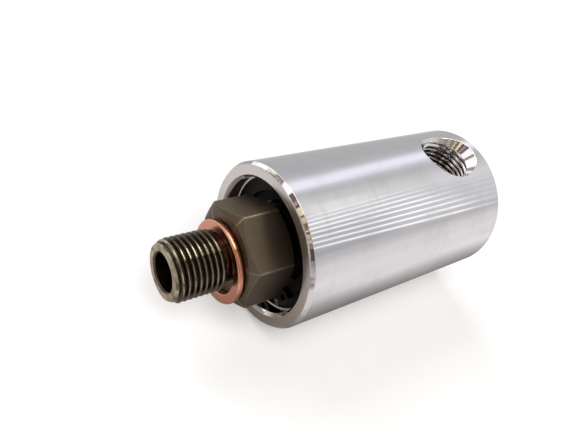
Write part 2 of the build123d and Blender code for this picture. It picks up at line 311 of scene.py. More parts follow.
# Millimetres. tipBreak is (along the axis, across it), collar and shaft are (radius, x of the end) and
# groove is (radius, front x, rear x).
rotorShape = {
    "tip": -54.2, "passage": 3.0, "passageBreak": 0.22, "passageEdge": 0.03, "boreRows": 6, "mouthLength": 4,
    "crestRadius": 4.864, "rootRadius": 4.283, "tipBreak": (1.05, 0.62), "pitch": 0.907, "threadPhase": 0.3,
    "threadEnd": -46.4, "crestLevel": 8, "runout": 0.6, "rowsPerTurn": 12, "rowTurns": 12, "turnsBefore": 2.0,
    "undercut": 3.9, "undercutFillet": 0.25, "shoulder": -44.0, "hexagonLength": 8.0, "halfFlats": 7.5,
    "cornerRadius": 8.66, "faceRadius": 7.0, "chamferDegrees": 30, "vertexRound": 0.035, "edgeRound": 0.05,
    "collar": (6.2, -33.7), "collarFillet": 0.1, "shaft": (5.0, -6.5), "tailBreak": 0.3, "tailEdge": 0.05,
    "groove": (4.7, -17.7, -16.6), "grooveEdge": 0.03, "columnsPerFlat": 48, "crowding": 0.12,
    "tipWorn": 1.8, "leadInWorn": 1.3, "crestWorn": 0.9, "cornerWidth": 0.16, "chamferWorn": 0.3,
    "chamferWidth": 0.06, "boreDull": 0.45,
}


# Smooth smaller of two values: the lower one, and k / 4 below it where they are the same.
def softMin(a, b, k):
    h = np.clip(0.5 + 0.5 * (b - a) / k, 0, 1)
    return b + (a - b) * h - k * h * (1 - h)


# Points (x, r cos a, r sin a), with r from an outline, from the hexagon and its chamfers or from the
# thread. All rows have the same angles a, so that they meet.
def buildRotor(s):
    # Columns crowd towards the corners of the hexagon: t - crowding sin 2 pi t along each flat
    t = np.linspace(0, 1, s["columnsPerFlat"] + 1)[:-1]
    flat = t - s["crowding"] * np.sin(2 * np.pi * t)
    around = np.concatenate([np.pi / 3 * (k + flat) for k in range(6)] + [[2 * np.pi]]) + np.pi / 6
    tip, shoulder, length, edge = s["tip"], s["shoulder"], s["hexagonLength"], s["edgeRound"]
    # Hexagon: r = half flats / cos(angle from the middle of the flat), with rounded corners
    offFlat = (around - np.pi / 6) % (np.pi / 3) - np.pi / 6
    own = s["halfFlats"] / np.cos(offFlat)
    neighbour = s["halfFlats"] / np.cos(np.pi / 3 - np.abs(offFlat))
    hexagon = softMin(own, neighbour, s["vertexRound"] * 4)
    # The cone of the chamfer meets the flat at a depth of reach below each end
    slope = np.tan(np.radians(s["chamferDegrees"]))
    reach = (hexagon - s["faceRadius"]) * slope
    # Rows lie close together round the edge of the chamfer
    near = edge * np.array((-2, -1, -0.5, 0, 0.5, 1, 2))
    inCone = np.array((0.0, 0.12, 0.5))[:, None] * (reach - 2 * edge)
    frontRows = np.concatenate((inCone, reach + near[:, None]))
    between = np.arange(1, 8)[:, None] / 8
    middleRows = between * (length - 2 * reach - 4 * edge) + reach + 2 * edge
    depth = np.concatenate((frontRows, middleRows, length - frontRows[::-1]))
    fromEnd = np.minimum(depth, length - depth)
    cone = s["faceRadius"] + fromEnd / slope
    hexagonR = softMin(cone, np.broadcast_to(hexagon, cone.shape), edge * 2)
    # Worn along the six corners and along the edge of the chamfer: e^-(distance / width)^2
    fromCorner = (np.pi / 6 - np.abs(offFlat)) * s["cornerRadius"]
    cornerWorn = np.exp(-(fromCorner / s["cornerWidth"]) ** 2)
    chamferWorn = s["chamferWorn"] * np.exp(-((fromEnd - reach) / s["chamferWidth"]) ** 2)
    hexagonRows = aroundAxis(shoulder + depth, hexagonR, around, np.maximum(cornerWorn, chamferWorn), 1.0)
    # Thread of the stud: rows follow the helix x = pitch (k + a / 2 pi) between the tip and the run-out
    end = s["threadEnd"] + s["runout"]
    turns = np.arange(s["rowTurns"] * s["rowsPerTurn"]) / s["rowsPerTurn"] - s["turnsBefore"]
    x = np.clip(tip + s["pitch"] * (turns[:, None] + (around - np.pi / 6) / (2 * np.pi)), tip, end)
    middle = (s["crestRadius"] + s["rootRadius"]) / 2
    phase = (x - tip) / s["pitch"] - around / (2 * np.pi) + s["threadPhase"]
    wave = threadWave(phase, s["crestLevel"])
    thread = middle + (s["crestRadius"] - s["rootRadius"]) * wave
    tipLength, tipDepth = s["tipBreak"]
    tipCone = s["crestRadius"] - tipDepth * (1 - (x - tip) / tipLength)
    runoutCone = s["undercut"] + (end - x) * (s["crestRadius"] - s["undercut"]) / s["runout"]
    threadR = np.minimum(np.minimum(thread, tipCone), runoutCone)
    # Worn along its crests, where 6 wave - 2 is above 0, and bare on the cone that leads in to it
    threadWorn = np.where(tipCone < thread, s["leadInWorn"], s["crestWorn"] * np.clip(wave * 6 - 2, 0, 1))
    threadRows = aroundAxis(x, threadR, around, threadWorn)
    # The bore, in a few long rows up to its mouth, and the face of the tip
    passage, passageBreak, passageEdge = s["passage"], s["passageBreak"], s["passageEdge"]
    shaftRadius, tail = s["shaft"]
    mouthOutline = softOutline((
        (tail, passage, 0), (tip + passageBreak, passage, passageEdge),
        (tip, passage + passageBreak, passageEdge), (tip, s["crestRadius"] - tipDepth, 0)))
    longRows = np.zeros((s["boreRows"], 3))
    longRows[:, 0] = np.linspace(tail, tip + s["mouthLength"], s["boreRows"])
    longRows[:, 1] = passage
    boreOutline = np.concatenate((longRows, mouthOutline[1:]))
    shoulderOutline = softOutline((
        (end, s["undercut"], 0), (shoulder, s["undercut"], s["undercutFillet"]),
        (shoulder, s["faceRadius"], 0)))
    # The hexagon's back face, collar and shaft with the groove of its circlip
    back, tailBreak, tailEdge, grooveEdge = shoulder + length, s["tailBreak"], s["tailEdge"], s["grooveEdge"]
    collarRadius, collarEnd = s["collar"]
    grooveRadius, grooveFront, grooveRear = s["groove"]
    tailOutline = softOutline((
        (back, s["faceRadius"], 0), (back, collarRadius, s["collarFillet"]),
        (collarEnd, collarRadius, tailEdge), (collarEnd, shaftRadius, tailEdge),
        (grooveFront, shaftRadius, grooveEdge), (grooveFront, grooveRadius, tailEdge),
        (grooveRear, grooveRadius, tailEdge), (grooveRear, shaftRadius, grooveEdge),
        (tail - tailBreak, shaftRadius, tailEdge), (tail, shaftRadius - tailBreak, tailEdge),
        (tail, passage, 0)))
    # The face of the tip reaches out to the start of the thread, and is bare and cut across
    boreSkin = turned(boreOutline, around)
    boreSkin[-1, :, :3] = threadRows[0, :, :3]
    boreSkin[..., 4] = s["boreDull"]
    for skin in (boreSkin, threadRows):
        onFace = np.isclose(skin[..., 0], tip)
        skin[onFace, 3:] = s["tipWorn"], 1
    patches = [boreSkin, threadRows, turned(shoulderOutline, around), hexagonRows,
               turned(tailOutline, around)]
    return pieceFromPatches("rotor_body", patches, sharpDegrees=30)


rotor = buildRotor(rotorShape)


washerShape = {
    "front": -45.2, "thickness": 1.0, "outer": 6.75, "bore": 5.1, "drop": 1.17,
    "outerRound": 0.3, "boreRound": 0.16, "roundSteps": 7, "dent": 0.018, "oval": (0.6, -0.4), "columns": 256,
}


# A ring with rounded edges round (x, 0, -drop). Soft copper keeps the marks of handling: its rim wanders
# along the axis by w = dent (sin(2a + 0.7) + 0.6 sin 5a) / 1.6, the bore keeps still, and the ring is
# oval by a share of w across and upwards.
def buildWasher(s):
    around = np.linspace(0, 2 * np.pi, s["columns"] + 1)
    front, back, outer, bore = s["front"], s["front"] + s["thickness"], s["outer"], s["bore"]
    half = (outer + bore) / 2
    outline = softOutline((
        (front, half, 0), (front, outer, s["outerRound"]), (back, outer, s["outerRound"]),
        (back, bore, s["boreRound"]), (front, bore, s["boreRound"]), (front, half, 0)), s["roundSteps"])
    ring = turned(outline, around)
    wander = s["dent"] * (np.sin(2 * around + 0.7) + 0.6 * np.sin(5 * around)) / 1.6
    ovalAcross, ovalUp = s["oval"]
    ring[..., 0] += wander * (outline[:, 1:2] - bore) / (outer - bore)
    ring[..., 1] *= 1 + wander / outer * ovalAcross
    ring[..., 2] = ring[..., 2] * (1 + wander / outer * ovalUp) - s["drop"]
    return pieceFromPatches("copper_ring", [ring], sharpDegrees=35)


washer = buildWasher(washerShape)


# A shader node group with number inputs {name: value} and number outputs (name, ...).
def newGroup(name, inputs, outputs):
    group = bpy.data.node_groups.new(name, "ShaderNodeTree")
    for label, value in inputs.items():
        socket = group.interface.new_socket(name=label, in_out="INPUT", socket_type="NodeSocketFloat")
        socket.default_value = value
    for label in outputs:
        group.interface.new_socket(name=label, in_out="OUTPUT", socket_type="NodeSocketFloat")
    return group, group.nodes.new("NodeGroupInput").outputs, group.nodes.new("NodeGroupOutput").inputs


def mathNode(tree, operation, first, second=None, clamp=False):
    node = tree.nodes.new("ShaderNodeMath")
    node.operation = operation
    node.use_clamp = clamp
    for index, value in enumerate((first, second)):
        if value is None:
            continue
        if isinstance(value, (int, float)):
            node.inputs[index].default_value = value
        else:
            tree.links.new(value, node.inputs[index])
    return node.outputs[0]


# The place on the piece, as one vector and split into x, y and z.
def placeOnPiece(tree):
    return tree.nodes.new("ShaderNodeTexCoord").outputs["Object"]


def splitPlace(tree):
    split = tree.nodes.new("ShaderNodeSeparateXYZ")
    tree.links.new(placeOnPiece(tree), split.inputs[0])
    return split.outputs


# Noise over the piece, or noise that changes only with the value along.
def noiseNode(tree, detail, scale=1.0, along=None):
    node = tree.nodes.new("ShaderNodeTexNoise")
    node.inputs["Detail"].default_value = detail
    node.inputs["Scale"].default_value = scale
    if along is None:
        tree.links.new(placeOnPiece(tree), node.inputs["Vector"])
    else:
        node.noise_dimensions = "1D"
        tree.links.new(along, node.inputs["W"])
    return node


latheMarks = {"slant": 0.83, "fineDetail": 2.0, "coarseFineness": 420.0, "coarseDetail": 3.0}


# Marks of the lathe: noise of x + slant r, with r = sqrt(y^2 + z^2), so that it runs in rings round the
# part. Height is fine noise + chatter times coarse noise, Ring is the coarse noise alone.
def latheGroup(s):
    group, given, out = newGroup("latheRings", {"Fineness": 3000.0, "Chatter": 0.3}, ("Height", "Ring"))
    x, y, z = splitPlace(group)
    squares = mathNode(group, "ADD", mathNode(group, "MULTIPLY", y, y), mathNode(group, "MULTIPLY", z, z))
    slanted = mathNode(group, "MULTIPLY", mathNode(group, "SQRT", squares), s["slant"])
    along = mathNode(group, "ADD", x, slanted)
    closely = mathNode(group, "MULTIPLY", along, given["Fineness"])
    widely = mathNode(group, "MULTIPLY", along, s["coarseFineness"])
    fine = noiseNode(group, s["fineDetail"], along=closely)
    coarse = noiseNode(group, s["coarseDetail"], along=widely)
    chatter = mathNode(group, "MULTIPLY", coarse.outputs["Fac"], given["Chatter"])
    group.links.new(mathNode(group, "ADD", fine.outputs["Fac"], chatter), out["Height"])
    group.links.new(coarse.outputs["Fac"], out["Ring"])
    return group


smudgeMarks = {"detail": 5.0, "distortion": 0.4, "contrast": 4.0}


# Faint clouds of handling: Mask is contrast (noise - cover), from 0 to 1.
def smudgeGroup(s):
    group, given, out = newGroup("handlingSmudges", {"Scale": 180.0, "Cover": 0.5}, ("Mask",))
    cloud = noiseNode(group, s["detail"])
    cloud.inputs["Distortion"].default_value = s["distortion"]
    group.links.new(given["Scale"], cloud.inputs["Scale"])
    above = mathNode(group, "SUBTRACT", cloud.outputs["Fac"], given["Cover"])
    group.links.new(mathNode(group, "MULTIPLY", above, s["contrast"], True), out["Mask"])
    return group


wearMarks = {"fineness": 700.0, "detail": 3.0, "contrast": 3.0, "cover": 0.7}


# Worn edges: a piece's own measure of wear, broken up by fine noise. Mask is worn times amount times
# (contrast noise - cover), from 0 to 1.
def wearGroup(s):
    group, given, out = newGroup("wornEdges", {"Worn": 0.0, "Amount": 0.6}, ("Mask",))
    patchy = noiseNode(group, s["detail"], s["fineness"]).outputs["Fac"]
    patchy = mathNode(group, "MULTIPLY", patchy, s["contrast"])
    share = mathNode(group, "MULTIPLY", given["Worn"], mathNode(group, "SUBTRACT", patchy, s["cover"], True))
    group.links.new(mathNode(group, "MULTIPLY", share, given["Amount"], True), out["Mask"])
    return group


# Painted shade of the recess on whatever faces the open front: everything nearer the stud than a place on
# the axis, in metres, with an edge of a quarter of a millimetre.
def frontShadeGroup():
    group, given, out = newGroup("paintedFrontShade", {"From": 0.0}, ("Mask",))
    sharpness = 4000.0
    before = mathNode(group, "SUBTRACT", given["From"], splitPlace(group)[0])
    group.links.new(mathNode(group, "MULTIPLY", before, sharpness, True), out["Mask"])
    return group


lathe, smudges = latheGroup(latheMarks), smudgeGroup(smudgeMarks)
wear, frontShade = wearGroup(wearMarks), frontShadeGroup()


def newMaterial(name):
    material = bpy.data.materials.new(name)
    material.use_nodes = True
    tree = material.node_tree
    return material, tree, tree.nodes["Principled BSDF"]


def useGroup(tree, group, **values):
    node = tree.nodes.new("ShaderNodeGroup")
    node.node_tree = group
    for label, value in values.items():
        node.inputs[label].default_value = value
    return node


def mixColour(tree, factor, first, second):
    node = tree.nodes.new("ShaderNodeMix")
    node.data_type = "RGBA"
    tree.links.new(factor, node.inputs["Factor"])
    for socket, value in ((node.inputs["A"], first), (node.inputs["B"], second)):
        if isinstance(value, tuple):
            socket.default_value = (*value, 1)
        else:
            tree.links.new(value, socket)
    return node.outputs["Result"]


# Goes from low to high while the value goes over its own range.
def rangeNode(tree, value, low, high, over=(0, 1), smooth=False):
    node = tree.nodes.new("ShaderNodeMapRange")
    node.interpolation_type = "SMOOTHSTEP" if smooth else "LINEAR"
    tree.links.new(value, node.inputs["Value"])
    node.inputs["From Min"].default_value, node.inputs["From Max"].default_value = over
    node.inputs["To Min"].default_value = low
    node.inputs["To Max"].default_value = high
    return node.outputs["Result"]


# A metal finish: shade and second mixed by smudges, edge where it is worn, and lathe rings as relief, in
# metres. Roughness goes from its first value to its second in the smudges. Faces cut across have the
# shade milled and are rougher by dull. frontShade is the place on the axis from which the faces nearer the
# stud get the painted shade of the recess, paintedShade.
metalFinishes = {
    "turnedAluminium": {
        "shade": (0.77, 0.76, 0.78), "second": (0.72, 0.705, 0.71), "edge": (0.93, 0.93, 0.94),
        "milled": (0.77, 0.76, 0.78), "roughness": (0.06, 0.11), "dull": 0.20, "fineness": 3200.0,
        "chatter": 0.25, "relief": 0.000004, "smudge": 170.0, "cover": 0.48, "wear": 0.6,
        "stain": 0.5, "stainShade": (0.62, 0.56, 0.57)},
    "blackenedSteel": {
        "shade": (0.080, 0.066, 0.049), "second": (0.118, 0.098, 0.074), "edge": (0.62, 0.56, 0.46),
        "milled": (0.176, 0.142, 0.108), "roughness": (0.12, 0.20), "dull": 0.36, "fineness": 2400.0,
        "chatter": 0.4, "relief": 0.000003, "smudge": 260.0, "cover": 0.46, "wear": 0.55},
    "copper": {
        "shade": (0.76, 0.34, 0.23), "second": (0.60, 0.245, 0.155), "edge": (0.96, 0.58, 0.43),
        "milled": (0.72, 0.34, 0.25), "roughness": (0.20, 0.32), "fineness": 2000.0,
        "chatter": 0.5, "relief": 0.000003, "smudge": 420.0, "cover": 0.46, "wear": 0.7},
    "springSteel": {
        "shade": (0.010, 0.009, 0.008), "second": (0.016, 0.014, 0.013), "edge": (0.42, 0.41, 0.40),
        "roughness": (0.34, 0.46), "fineness": 1500.0,
        "chatter": 0.5, "relief": 0.000003, "smudge": 500.0, "cover": 0.46, "wear": 0.5},
    "bearingSteel": {
        "shade": (0.62, 0.62, 0.63), "second": (0.55, 0.55, 0.56), "edge": (0.85, 0.85, 0.86),
        "roughness": (0.14, 0.22), "fineness": 4000.0,
        "chatter": 0.15, "relief": 0.000002, "smudge": 300.0, "cover": 0.5, "wear": 0.4,
        # Towards the open front the bearing gets a near-black painted shade of the recess
        "frontShade": -0.0330, "paintedShade": (0.020, 0.018, 0.016)},
    "ballSteel": {
        "shade": (0.74, 0.74, 0.75), "second": (0.68, 0.68, 0.69), "edge": (0.85, 0.85, 0.86),
        "roughness": (0.04, 0.08), "fineness": 6000.0,
        "chatter": 0.1, "relief": 0.0000005, "smudge": 700.0, "cover": 0.55, "wear": 0.0},
    "glandBronze": {
        "shade": (0.68, 0.46, 0.22), "second": (0.58, 0.37, 0.16), "edge": (0.85, 0.66, 0.38),
        "roughness": (0.20, 0.32), "fineness": 2600.0,
        "chatter": 0.3, "relief": 0.000003, "smudge": 300.0, "cover": 0.48, "wear": 0.5},
}
# Stain in lines round the barrel: gain (coarse lathe noise - from), within clouds wider than the smudges
stainMarks = {"from": 0.50, "gain": 7.0, "spread": 0.4, "cover": 0.50}


def readLayer(tree, label, output="Fac"):
    node = tree.nodes.new("ShaderNodeAttribute")
    node.attribute_name = label
    return node.outputs[output]


# A bump of the given height in metres, from a value that changes over the surface.
def addRelief(tree, shader, value, relief):
    bump = tree.nodes.new("ShaderNodeBump")
    bump.inputs["Strength"].default_value = 1.0
    bump.inputs["Distance"].default_value = relief
    tree.links.new(value, bump.inputs["Height"])
    tree.links.new(bump.outputs["Normal"], shader.inputs["Normal"])


def metalMaterial(name, f):
    material, tree, shader = newMaterial(name)
    rings = useGroup(tree, lathe, Fineness=f["fineness"], Chatter=f["chatter"])
    clouds = useGroup(tree, smudges, Scale=f["smudge"], Cover=f["cover"])
    edges = useGroup(tree, wear, Amount=f["wear"])
    tree.links.new(readLayer(tree, "worn"), edges.inputs["Worn"])
    body = mixColour(tree, clouds.outputs["Mask"], f["shade"], f["second"])
    if "milled" in f:
        body = mixColour(tree, readLayer(tree, "dull"), body, f["milled"])
    # The faces nearer the stud than this place get a near-black painted shade of the recess
    if "frontShade" in f:
        paintedShade = useGroup(tree, frontShade, From=f["frontShade"])
        body = mixColour(tree, paintedShade.outputs["Mask"], body, f["paintedShade"])
    if "stain" in f:
        above = mathNode(tree, "SUBTRACT", rings.outputs["Ring"], stainMarks["from"])
        lines = mathNode(tree, "MULTIPLY", above, stainMarks["gain"], True)
        wide = useGroup(tree, smudges, Scale=f["smudge"] * stainMarks["spread"], Cover=stainMarks["cover"])
        stained = mathNode(tree, "MULTIPLY", lines, wide.outputs["Mask"])
        body = mixColour(tree, mathNode(tree, "MULTIPLY", stained, f["stain"]), body, f["stainShade"])
    tree.links.new(mixColour(tree, edges.outputs["Mask"], body, f["edge"]), shader.inputs["Base Color"])
    roughness = rangeNode(tree, clouds.outputs["Mask"], *f["roughness"])
    if "dull" in f:
        satin = mathNode(tree, "MULTIPLY", readLayer(tree, "dull"), f["dull"])
        roughness = mathNode(tree, "ADD", roughness, satin)
    tree.links.new(roughness, shader.inputs["Roughness"])
    shader.inputs["Metallic"].default_value = 1.0
    addRelief(tree, shader, rings.outputs["Height"], f["relief"])
    return material


# A plastic or rubber finish: two shades in clouds of twelve grains across, and a fine grain as relief.
softFinishes = {
    "blackRubber": {
        "shade": (0.010, 0.010, 0.010), "second": (0.018, 0.017, 0.016), "roughness": (0.60, 0.75),
        "sheen": 0.12, "grain": 5200.0, "relief": 0.000012},
    "cageNylon": {
        "shade": (0.70, 0.62, 0.44), "second": (0.62, 0.54, 0.37), "roughness": (0.32, 0.45),
        "sheen": 0.5, "grain": 3000.0, "relief": 0.000008},
    "ptfe": {
        "shade": (0.86, 0.85, 0.81), "second": (0.78, 0.77, 0.73), "roughness": (0.30, 0.40),
        "sheen": 0.5, "grain": 3600.0, "relief": 0.000005},
}
softClouds = {"grains": 12, "cover": 0.46, "detail": 4.0}


def softMaterial(name, f):
    material, tree, shader = newMaterial(name)
    clouds = useGroup(tree, smudges, Scale=f["grain"] / softClouds["grains"], Cover=softClouds["cover"])
    body = mixColour(tree, clouds.outputs["Mask"], f["shade"], f["second"])
    tree.links.new(body, shader.inputs["Base Color"])
    tree.links.new(rangeNode(tree, clouds.outputs["Mask"], *f["roughness"]), shader.inputs["Roughness"])
    shader.inputs["Specular IOR Level"].default_value = f["sheen"]
    addRelief(tree, shader, noiseNode(tree, softClouds["detail"], f["grain"]).outputs["Fac"], f["relief"])
    return material


materials = {name: metalMaterial(name, finish) for name, finish in metalFinishes.items()}
materials |= {name: softMaterial(name, finish) for name, finish in softFinishes.items()}
print("finishes:", len(materials))

slotFinish = {
    "turned_aluminium": "turnedAluminium", "blackened_steel": "blackenedSteel", "copper": "copper",
    "spring_steel": "springSteel", "bearing_steel": "bearingSteel", "ball_steel": "ballSteel",
    "black_rubber": "blackRubber", "cage_nylon": "cageNylon", "ptfe": "ptfe", "gland_bronze": "glandBronze",
}


def dress(piece, slotName):
    piece.data.materials.clear()
    piece.data.materials.append(materials[slotFinish[slotName]])


for entry in frame["record"]["subparts"]:
    dress(frame["nodes"][entry["node"]], entry["material_slot"])
for piece, node, body, slotName in (
    (housing, "housing", "housing", "turned_aluminium"),
    (rotor, "rotor", "rotor", "blackened_steel"),
    (washer, "copper_washer", "washer", "copper"),
):
    dress(piece, slotName)
    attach(piece, body)
    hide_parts(node)
print("pieces: dressed")


# Sizes in metres. The floor's glow goes from its first level to its second between the two distances
# of floorOpen. The ends of the tent are half discs.
studio = {
    "floorSize": 6.0, "floorPoints": 9, "floorShade": (0.87, 0.86, 0.85), "floorRoughness": 0.9,
    "floorGlow": (0.16, 0.85), "floorOpen": (0.16, 0.60), "worldLevel": 0.22, "cardLift": 0.00002,
    "tentRadius": 0.40, "tentReach": 2.2, "endRadii": (0.0, 0.2, 0.41), "endPoints": 49,
    "frontEnd": (1.6, 1.34, 1.08), "rearEnd": (0.85, 0.84, 0.84),
}
floorHeight = cadBox[0].z


# 1 where a ray comes straight from the camera, off a shiny surface or through glass, otherwise 0.
def seenDirectly(tree):
    path = tree.nodes.new("ShaderNodeLightPath")
    seen = mathNode(tree, "MAXIMUM", path.outputs["Is Camera Ray"], path.outputs["Is Glossy Ray"])
    return mathNode(tree, "MAXIMUM", seen, path.outputs["Is Transmission Ray"])


# A flat square under the part, whose own glow grows to nearly white with the distance from the part.
def buildFloor(s, height):
    steps = np.linspace(-s["floorSize"] / 2, s["floorSize"] / 2, s["floorPoints"])
    x, y = np.meshgrid(steps, steps)
    mesh = bpy.data.meshes.new("floor")
    mesh.from_pydata(np.stack((x, y, np.full_like(x, height)), -1).reshape(-1, 3), [],
                     gridQuads(*x.shape, 0).tolist())
    material, tree, shader = newMaterial("paleFloor")
    shader.inputs["Base Color"].default_value = (*s["floorShade"], 1)
    shader.inputs["Roughness"].default_value = s["floorRoughness"]
    shader.inputs["Specular IOR Level"].default_value = 0.0
    shader.inputs["Emission Color"].default_value = (1, 1, 1, 1)
    away = tree.nodes.new("ShaderNodeVectorMath")
    away.operation = "LENGTH"
    tree.links.new(placeOnPiece(tree), away.inputs[0])
    glow = rangeNode(tree, away.outputs["Value"], *s["floorGlow"], s["floorOpen"], smooth=True)
    strength = mathNode(tree, "MULTIPLY", seenDirectly(tree), glow)
    tree.links.new(strength, shader.inputs["Emission Strength"])
    mesh.materials.append(material)
    newObject("floor", mesh)


# White where it is seen directly, and a plain low level as light.
def buildWorld(s):
    world = bpy.data.worlds.new("studioWorld")
    bpy.context.scene.world = world
    world.use_nodes = True
    tree = world.node_tree
    background = tree.nodes["Background"]
    background.inputs["Color"].default_value = (1, 1, 1, 1)
    tree.links.new(rangeNode(tree, seenDirectly(tree), s["worldLevel"], 1.0), background.inputs["Strength"])


buildFloor(studio, floorHeight)
buildWorld(studio)


# What metal mirrors: a long tent round the rotor's axis with soft levels (angle, red, green, blue) in
# four stretches along it: far (past the back of the part), beside (beside the stud), behind (behind the
# camera) and deep (further out behind the camera). Angles are 0 towards +y, 90 at the top and 180
# towards -y. A row of bright slats lies across the far stretch on the side of -y.
tentLevels = {
    "far": (
        (-12, 0.53, 0.52, 0.52), (5, 0.52, 0.52, 0.52), (20, 0.53, 0.53, 0.54), (30, 0.60, 0.60, 0.62),
        (36, 0.80, 0.79, 0.84), (41, 1.04, 1.03, 1.13), (47, 1.10, 1.09, 1.20), (52, 0.98, 0.97, 1.07),
        (58, 0.74, 0.73, 0.78), (65, 0.63, 0.63, 0.64), (72, 0.62, 0.62, 0.62), (85, 0.76, 0.76, 0.76),
        (96, 0.84, 0.84, 0.84), (112, 0.74, 0.74, 0.75), (145, 0.70, 0.70, 0.72), (153, 0.62, 0.61, 0.62),
        (160, 0.62, 0.61, 0.61), (167, 0.76, 0.74, 0.74), (174, 0.86, 0.82, 0.83), (192, 0.90, 0.85, 0.86)),
    "beside": (
        (-12, 0.34, 0.31, 0.27), (20, 0.40, 0.35, 0.30), (34, 0.62, 0.58, 0.52), (42, 1.30, 1.28, 1.24),
        (56, 1.30, 1.27, 1.20), (62, 0.90, 0.84, 0.74), (96, 0.80, 0.73, 0.63), (120, 0.78, 0.68, 0.57),
        (149, 0.50, 0.46, 0.41), (180, 0.45, 0.43, 0.40), (192, 0.45, 0.43, 0.40)),
    "behind": (
        (-12, 0.90, 0.88, 0.86), (6, 1.40, 1.40, 1.42), (25, 1.40, 1.40, 1.42), (27, 0.55, 0.50, 0.44),
        (29, 1.10, 1.00, 0.84), (37, 0.95, 0.82, 0.60), (39, 0.34, 0.30, 0.27), (51, 0.30, 0.27, 0.25),
        (53, 1.35, 1.30, 1.26), (69, 1.30, 1.24, 1.18), (71, 0.18, 0.12, 0.14), (77, 0.22, 0.15, 0.17),
        (79, 0.50, 0.40, 0.38), (83, 0.42, 0.33, 0.28), (85, 0.11, 0.07, 0.06), (89, 0.13, 0.09, 0.07),
        (91, 0.95, 0.80, 0.60), (96, 1.00, 0.86, 0.66), (98, 0.16, 0.11, 0.08), (102, 0.22, 0.16, 0.11),
        (104, 0.85, 0.70, 0.48), (108, 0.80, 0.64, 0.44), (110, 0.18, 0.13, 0.09), (114, 0.24, 0.18, 0.13),
        (116, 0.90, 0.76, 0.54), (120, 0.82, 0.68, 0.48), (122, 0.18, 0.13, 0.09), (127, 0.20, 0.15, 0.11),
        (129, 0.74, 0.60, 0.42), (134, 0.66, 0.53, 0.37), (136, 0.18, 0.13, 0.10), (141, 0.42, 0.33, 0.25),
        (144, 0.12, 0.08, 0.09), (157, 0.10, 0.07, 0.08), (162, 0.34, 0.30, 0.31), (172, 0.62, 0.57, 0.57),
        (192, 0.68, 0.62, 0.61)),
    "deep": (
        (-12, 0.34, 0.30, 0.26), (40, 0.34, 0.30, 0.26), (52, 1.30, 1.16, 0.96), (72, 1.50, 1.34, 1.10),
        (84, 0.60, 0.53, 0.44), (118, 0.45, 0.40, 0.33), (164, 0.80, 0.74, 0.66), (192, 0.80, 0.74, 0.66)),
}
# Patches of the tent: from and to in x, from and to in angle, soft margins in x and in angle, share, shade
tentPatches = (
    (-140, 112, 58, 116, 30, 8, 0.90, (0.06, 0.055, 0.05)),
    (-118, 95, 14, 50, 18, 5, 0.95, (1.40, 1.38, 1.36)),
    (-172, 125, 99, 152, 20, 6, 0.66, (0.36, 0.33, 0.29)),
    (-2500, -432, 98, 158, 20, 8, 0.90, (0.07, 0.065, 0.05)),
    (85, 205, 92, 114, 20, 5, 0.85, (0.08, 0.07, 0.06)),
    (200, 345, 86, 108, 40, 8, 0.55, (1.10, 1.10, 1.08)),
    (-1300, -420, -14, 34, 60, 8, 0.80, (0.85, 0.74, 0.62)),
    (92, 186, 54, 104, 12, 10, 1.00, (7.5, 7.1, 6.4)),
)
# The stretches of the tent in millimetres of x: where far and beside begin and are full, and where deep
# ends, which is deepStep nearer to the part below the angles of deepTurn. The far stretch leans within
# the four angles of band, and a shallow dip darkens it within dipAngles up to dipEnd.
tentShape = {
    "angles": (-12, 192, 2041), "columns": 401, "far": (150, 200), "beside": (-50, 40),
    "deepEnd": -310, "deepStep": 165, "deepTurn": (40, 56), "deepBlend": 15,
    "band": (14, 36, 60, 82), "lean": 0.045, "leanFrom": 490,
    "dip": 0.22, "dipAngles": (112, 128, 150, 158), "dipEnd": (290, 390),
}
# Angles of the slats in degrees, their places in millimetres
slats = {
    "first": 101.5, "step": 5.1, "growth": 0.16, "count": 8, "width": 0.42, "gain": 0.80,
    "centre": 117.0, "fan": 0.0013, "fanStart": 275.0, "fanEnd": 700, "fanLimits": (0.6, 1.6),
    "end": 430.0, "stagger": 22.0, "fade": 90.0, "rest": 0.1, "rise": (1.2, 3.5),
}
# What metal mirrors below: (y, red, green, blue) across the floor beside the housing, dark near it as a
# painted shadow of the part
floorLevels = (
    (-400, 0.86, 0.82, 0.83), (-276, 0.88, 0.84, 0.85), (-84, 0.93, 0.89, 0.89), (-36, 0.89, 0.86, 0.86),
    (-30, 0.74, 0.71, 0.70), (-23, 0.50, 0.48, 0.47), (-19, 0.38, 0.36, 0.35), (-16, 0.29, 0.275, 0.27),
    (-14, 0.235, 0.22, 0.215), (-12, 0.28, 0.27, 0.265), (-10, 0.34, 0.33, 0.32), (-8, 0.28, 0.27, 0.26),
    (-6.5, 0.19, 0.18, 0.175), (-4, 0.14, 0.13, 0.125), (0, 0.12, 0.11, 0.105), (8, 0.16, 0.15, 0.15),
    (15, 0.32, 0.31, 0.31), (23, 0.60, 0.60, 0.60), (31, 0.80, 0.80, 0.80), (38, 0.74, 0.74, 0.74),
    (50, 0.58, 0.58, 0.58), (70, 0.52, 0.52, 0.52), (400, 0.52, 0.52, 0.52))
# Beside the housing: the dark stretch, a painted shadow of the part, narrows towards the back, a lift near
# the back, and the level at the front
floorBeside = {
    "narrower": 2.6, "narrowX": (-32, 6), "narrowY": (-14, -6), "lift": 0.20, "liftX": (14, 44),
    "liftY": (8, 60), "level": 0.86, "levelX": (-20, 0),
}
